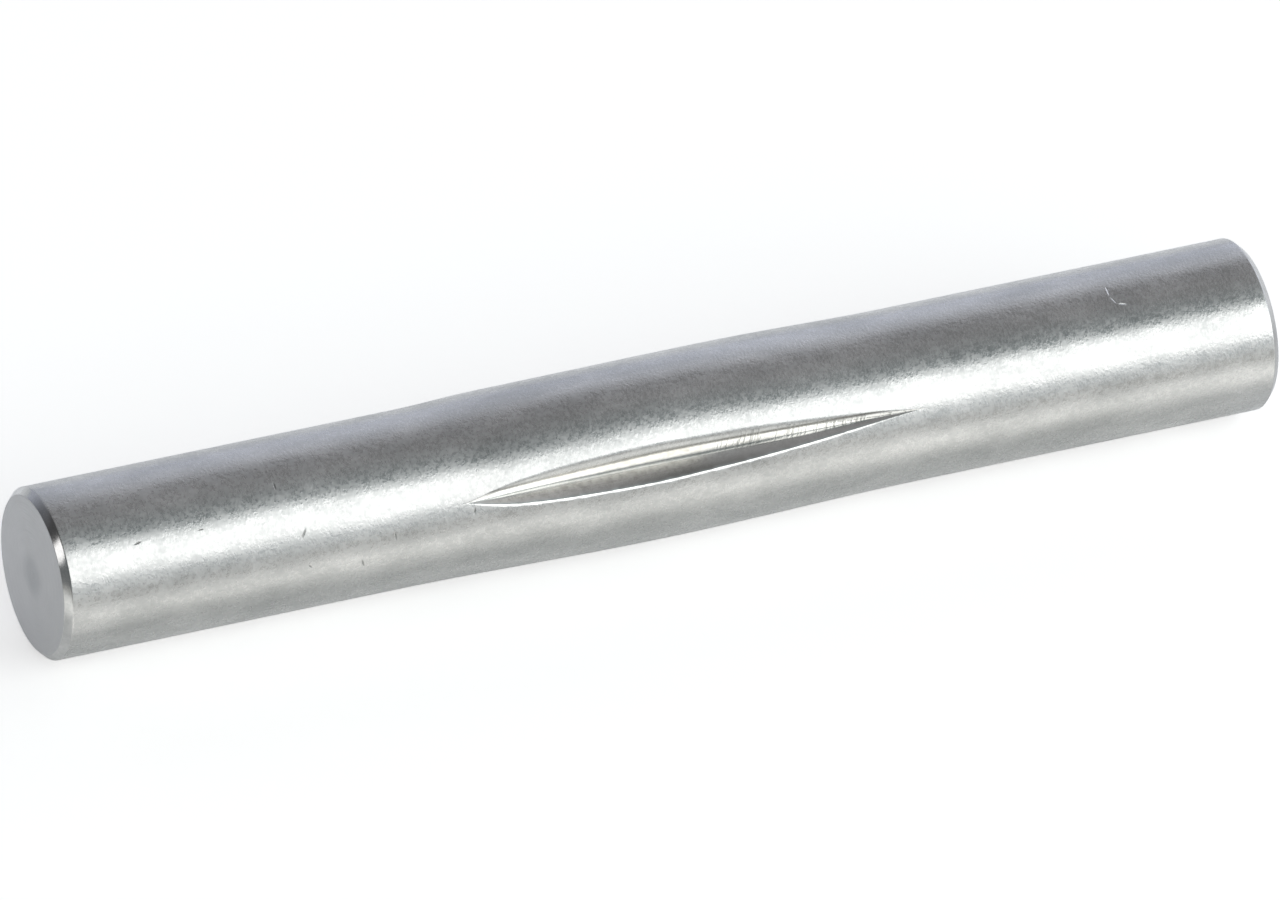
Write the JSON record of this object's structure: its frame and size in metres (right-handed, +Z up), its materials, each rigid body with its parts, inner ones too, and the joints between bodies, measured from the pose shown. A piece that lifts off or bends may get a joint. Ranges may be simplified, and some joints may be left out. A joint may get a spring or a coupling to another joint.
{
  "type": "grooved pin",
  "caption": "Straight round pin with chamfered ends and lengthwise grooves pressed into its slightly swollen middle, driven into a plain drilled hole to lock itself there.",
  "frame": {"origin": "on the surface that the pin lies on, under the middle of its length, where the rims of its lowest groove rest", "axes": "+X along the pin towards the end with the longer groove run-out, +Z up, away from the surface"},
  "size_m": [0.06, 0.0084, 0.0083],
  "materials": {
    "steel": "bright ground steel, satin rather than mirror bright, with fine handling marks; the pressed grooves are smoother"
  },
  "bodies": {
    "root": {"grooved_pin": "steel"}
  },
  "joints": []
}
